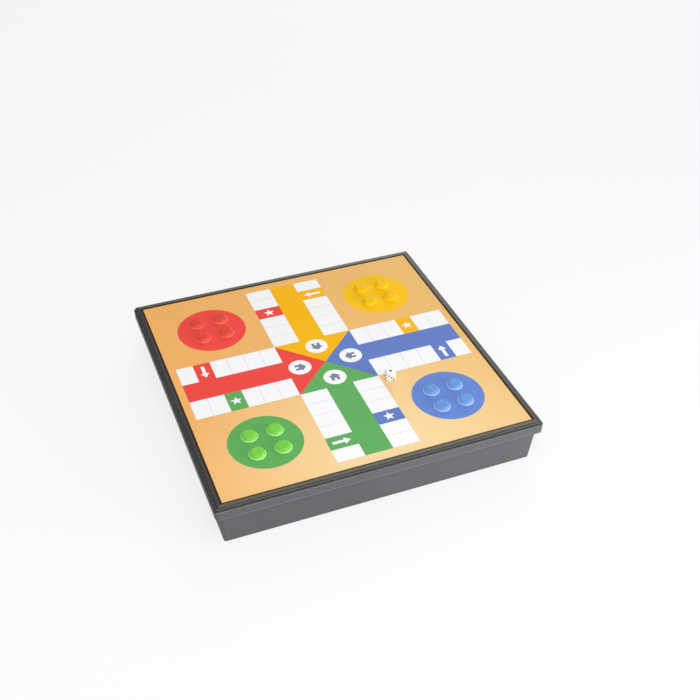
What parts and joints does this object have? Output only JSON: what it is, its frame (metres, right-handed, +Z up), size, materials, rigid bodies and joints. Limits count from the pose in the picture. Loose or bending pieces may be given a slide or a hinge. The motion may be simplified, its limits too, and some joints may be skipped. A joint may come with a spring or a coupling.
{
  "type": "board game box",
  "caption": "Square board game box: a shallow drafted tray closed by a hinged lid that is the printed magnetic playing board, with button-shaped magnetic men and a die on it.",
  "frame": {"origin": "centre of the flat face that the tray rests on", "axes": "+Z up out of the board, +Y towards the hinge, +X to the right when the hinge is at the far side"},
  "size_m": [0.2638, 0.2693, 0.0474],
  "materials": {
    "case_plastic": "dark grey moulded plastic, finely satin",
    "sheet_steel": "thin tinned sheet",
    "printed_card": "printed card with a thin gloss film",
    "pin_steel": "drawn wire",
    "red_plastic": "glossy, a little translucent",
    "yellow_plastic": "glossy, a little translucent",
    "green_plastic": "glossy, a little translucent",
    "blue_plastic": "glossy, a little translucent",
    "magnet_ferrite": "bare ferrite",
    "die_plastic": "white with painted pips"
  },
  "bodies": {
    "tray": {"base_tray": "case_plastic", "hinge_pin_left": "pin_steel", "hinge_pin_right": "pin_steel"},
    "lid": {"lid_frame": "case_plastic", "steel_sheet": "sheet_steel", "board_print": "printed_card"},
    "red_man_1": {"man_red_1": "red_plastic", "magnet_red_1": "magnet_ferrite"},
    "red_man_2": {"man_red_2": "red_plastic", "magnet_red_2": "magnet_ferrite"},
    "red_man_3": {"man_red_3": "red_plastic", "magnet_red_3": "magnet_ferrite"},
    "red_man_4": {"man_red_4": "red_plastic", "magnet_red_4": "magnet_ferrite"},
    "yellow_man_1": {"man_yellow_1": "yellow_plastic", "magnet_yellow_1": "magnet_ferrite"},
    "yellow_man_2": {"man_yellow_2": "yellow_plastic", "magnet_yellow_2": "magnet_ferrite"},
    "yellow_man_3": {"man_yellow_3": "yellow_plastic", "magnet_yellow_3": "magnet_ferrite"},
    "yellow_man_4": {"man_yellow_4": "yellow_plastic", "magnet_yellow_4": "magnet_ferrite"},
    "green_man_1": {"man_green_1": "green_plastic", "magnet_green_1": "magnet_ferrite"},
    "green_man_2": {"man_green_2": "green_plastic", "magnet_green_2": "magnet_ferrite"},
    "green_man_3": {"man_green_3": "green_plastic", "magnet_green_3": "magnet_ferrite"},
    "green_man_4": {"man_green_4": "green_plastic", "magnet_green_4": "magnet_ferrite"},
    "blue_man_1": {"man_blue_1": "blue_plastic", "magnet_blue_1": "magnet_ferrite"},
    "blue_man_2": {"man_blue_2": "blue_plastic", "magnet_blue_2": "magnet_ferrite"},
    "blue_man_3": {"man_blue_3": "blue_plastic", "magnet_blue_3": "magnet_ferrite"},
    "blue_man_4": {"man_blue_4": "blue_plastic", "magnet_blue_4": "magnet_ferrite"},
    "die": {"die": "die_plastic"}
  },
  "joints": [
    {"name": "lid_hinge", "type": "hinge", "parent": "tray", "child": "lid", "pos_m": [0, 0.1346, 0.03325], "axis": [-1, 0, 0], "range_deg": [0, 105]},
    {"name": "red_man_1_lift", "type": "slide", "parent": "lid", "child": "red_man_1", "axis": [0, 0, 1], "range_m": [0, 0.03]},
    {"name": "red_man_2_lift", "type": "slide", "parent": "lid", "child": "red_man_2", "axis": [0, 0, 1], "range_m": [0, 0.03]},
    {"name": "red_man_3_lift", "type": "slide", "parent": "lid", "child": "red_man_3", "axis": [0, 0, 1], "range_m": [0, 0.03]},
    {"name": "red_man_4_lift", "type": "slide", "parent": "lid", "child": "red_man_4", "axis": [0, 0, 1], "range_m": [0, 0.03]},
    {"name": "yellow_man_1_lift", "type": "slide", "parent": "lid", "child": "yellow_man_1", "axis": [0, 0, 1], "range_m": [0, 0.03]},
    {"name": "yellow_man_2_lift", "type": "slide", "parent": "lid", "child": "yellow_man_2", "axis": [0, 0, 1], "range_m": [0, 0.03]},
    {"name": "yellow_man_3_lift", "type": "slide", "parent": "lid", "child": "yellow_man_3", "axis": [0, 0, 1], "range_m": [0, 0.03]},
    {"name": "yellow_man_4_lift", "type": "slide", "parent": "lid", "child": "yellow_man_4", "axis": [0, 0, 1], "range_m": [0, 0.03]},
    {"name": "green_man_1_lift", "type": "slide", "parent": "lid", "child": "green_man_1", "axis": [0, 0, 1], "range_m": [0, 0.03]},
    {"name": "green_man_2_lift", "type": "slide", "parent": "lid", "child": "green_man_2", "axis": [0, 0, 1], "range_m": [0, 0.03]},
    {"name": "green_man_3_lift", "type": "slide", "parent": "lid", "child": "green_man_3", "axis": [0, 0, 1], "range_m": [0, 0.03]},
    {"name": "green_man_4_lift", "type": "slide", "parent": "lid", "child": "green_man_4", "axis": [0, 0, 1], "range_m": [0, 0.03]},
    {"name": "blue_man_1_lift", "type": "slide", "parent": "lid", "child": "blue_man_1", "axis": [0, 0, 1], "range_m": [0, 0.03]},
    {"name": "blue_man_2_lift", "type": "slide", "parent": "lid", "child": "blue_man_2", "axis": [0, 0, 1], "range_m": [0, 0.03]},
    {"name": "blue_man_3_lift", "type": "slide", "parent": "lid", "child": "blue_man_3", "axis": [0, 0, 1], "range_m": [0, 0.03]},
    {"name": "blue_man_4_lift", "type": "slide", "parent": "lid", "child": "blue_man_4", "axis": [0, 0, 1], "range_m": [0, 0.03]},
    {"name": "die_lift", "type": "slide", "parent": "lid", "child": "die", "axis": [0, 0, 1], "range_m": [0, 0.03]}
  ]
}
